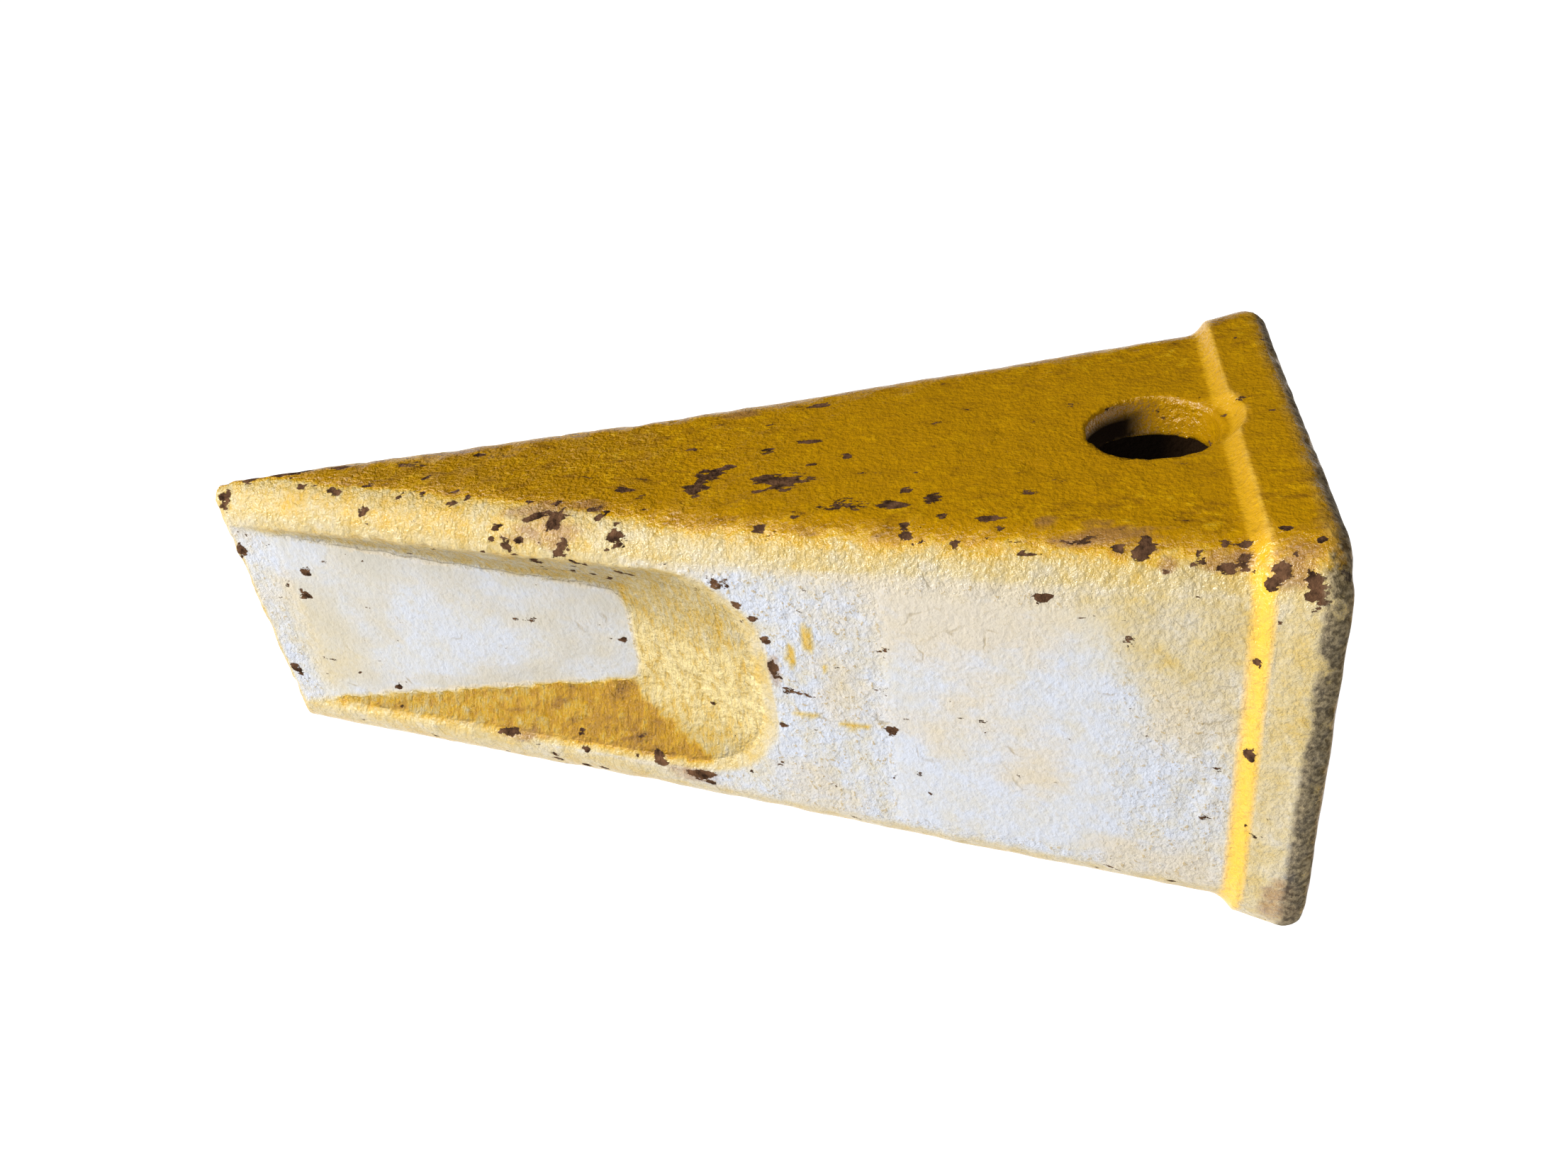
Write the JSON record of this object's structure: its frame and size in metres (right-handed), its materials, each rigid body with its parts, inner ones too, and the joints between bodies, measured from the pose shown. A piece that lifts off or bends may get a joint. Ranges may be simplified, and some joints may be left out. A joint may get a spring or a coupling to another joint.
{
  "type": "bucket tooth",
  "caption": "Wedge-shaped cast bucket tooth with a scooped digging face, a flared rear collar, a tapered adapter socket and a cross bore for its retaining pin.",
  "frame": {"origin": "centre of the cross bore for the retaining pin", "axes": "+Z along the pin bore, out of one flank; +X along the tooth towards the open rear end, so the cutting tip is at the far -X end; -Y out of the face that has the scoop. The tooth lies on its -Z flank."},
  "size_m": [0.24, 0.112, 0.092],
  "materials": {
    "yellow_enamel": "glossy yellow enamel over a rough as-cast steel skin, chipped to brown rust at edges and high spots"
  },
  "bodies": {
    "root": {"tooth_casting": "yellow_enamel"}
  },
  "joints": []
}
